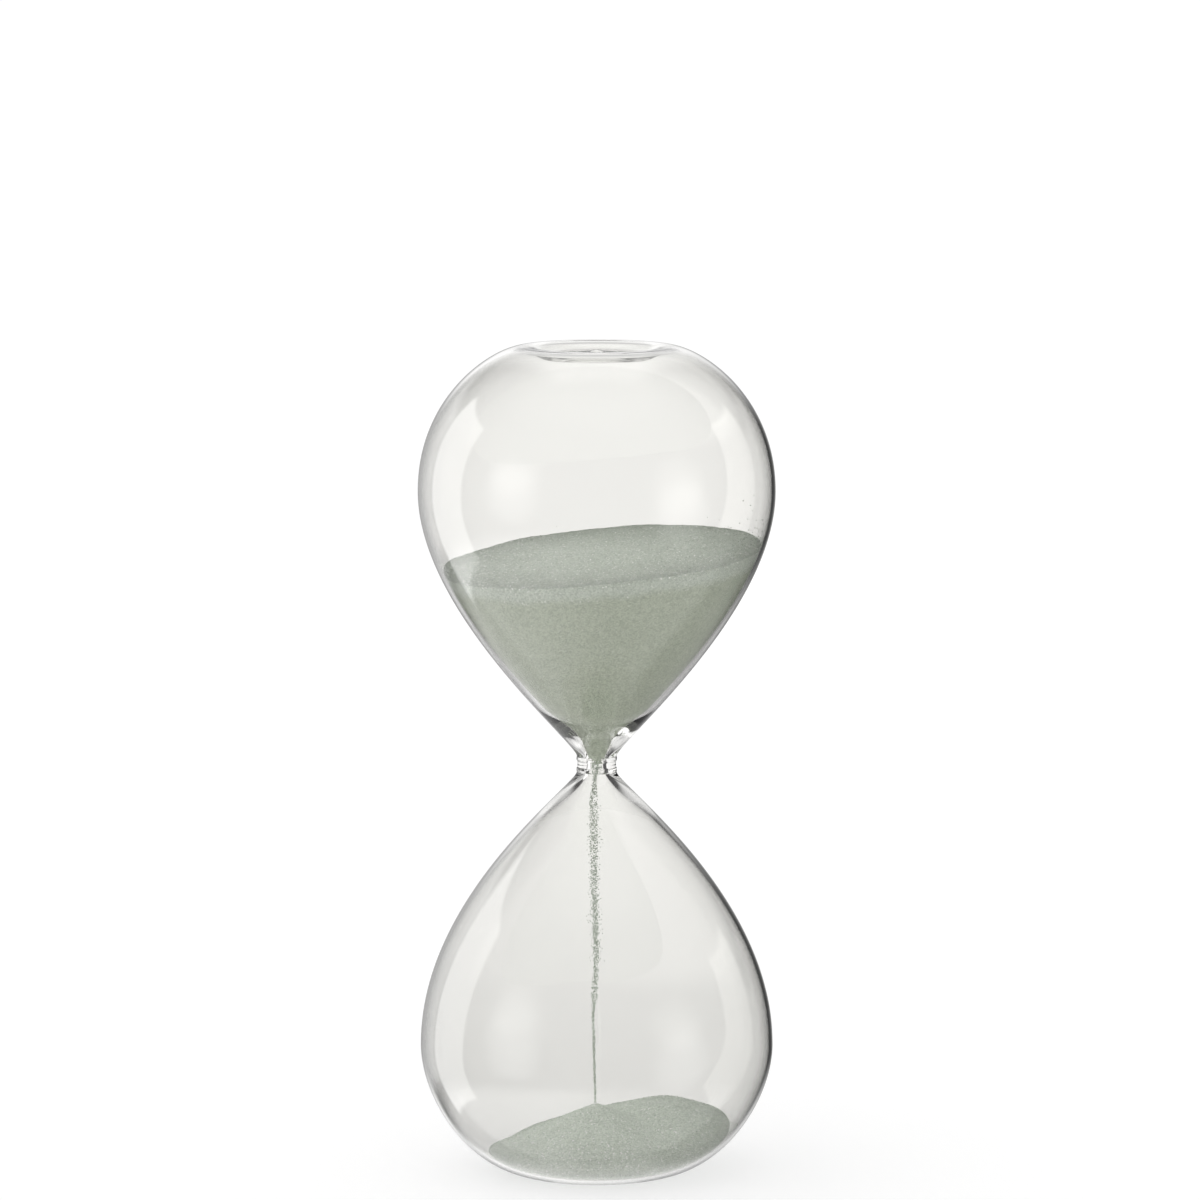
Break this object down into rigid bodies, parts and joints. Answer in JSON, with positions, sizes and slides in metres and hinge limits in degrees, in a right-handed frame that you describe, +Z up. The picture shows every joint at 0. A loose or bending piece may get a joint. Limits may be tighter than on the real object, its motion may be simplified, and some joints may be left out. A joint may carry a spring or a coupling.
{
  "type": "hourglass",
  "caption": "Frameless hourglass of clear blown glass: two pear-shaped bulbs fused at a short throat, with fine pale green sand running from the upper bulb to the lower.",
  "frame": {"origin": "centre of the ring that the hourglass stands on, in the plane of the table", "axes": "+Z up along the axis of both bulbs; +X to the right and -Y to the viewer, with the upper sand a little higher towards +X and +Y"},
  "size_m": [0.0906, 0.0906, 0.2116],
  "materials": {
    "clear_glass": "clear, fire-polished, smooth",
    "sage_sand": "fine dry sand, matt with small glints"
  },
  "bodies": {
    "hourglass": {"upper_bulb": "clear_glass", "lower_bulb": "clear_glass", "neck_tube": "clear_glass", "fill_seal": "clear_glass", "upper_sand": "sage_sand", "sand_stream": "sage_sand", "lower_sand": "sage_sand"},
    "loose_grains": {"falling_grains": "sage_sand"}
  },
  "joints": [
    {"name": "grain_fall", "type": "slide", "parent": "hourglass", "child": "loose_grains", "axis": [0, 0, -1], "range_m": [0, 0.036]}
  ]
}
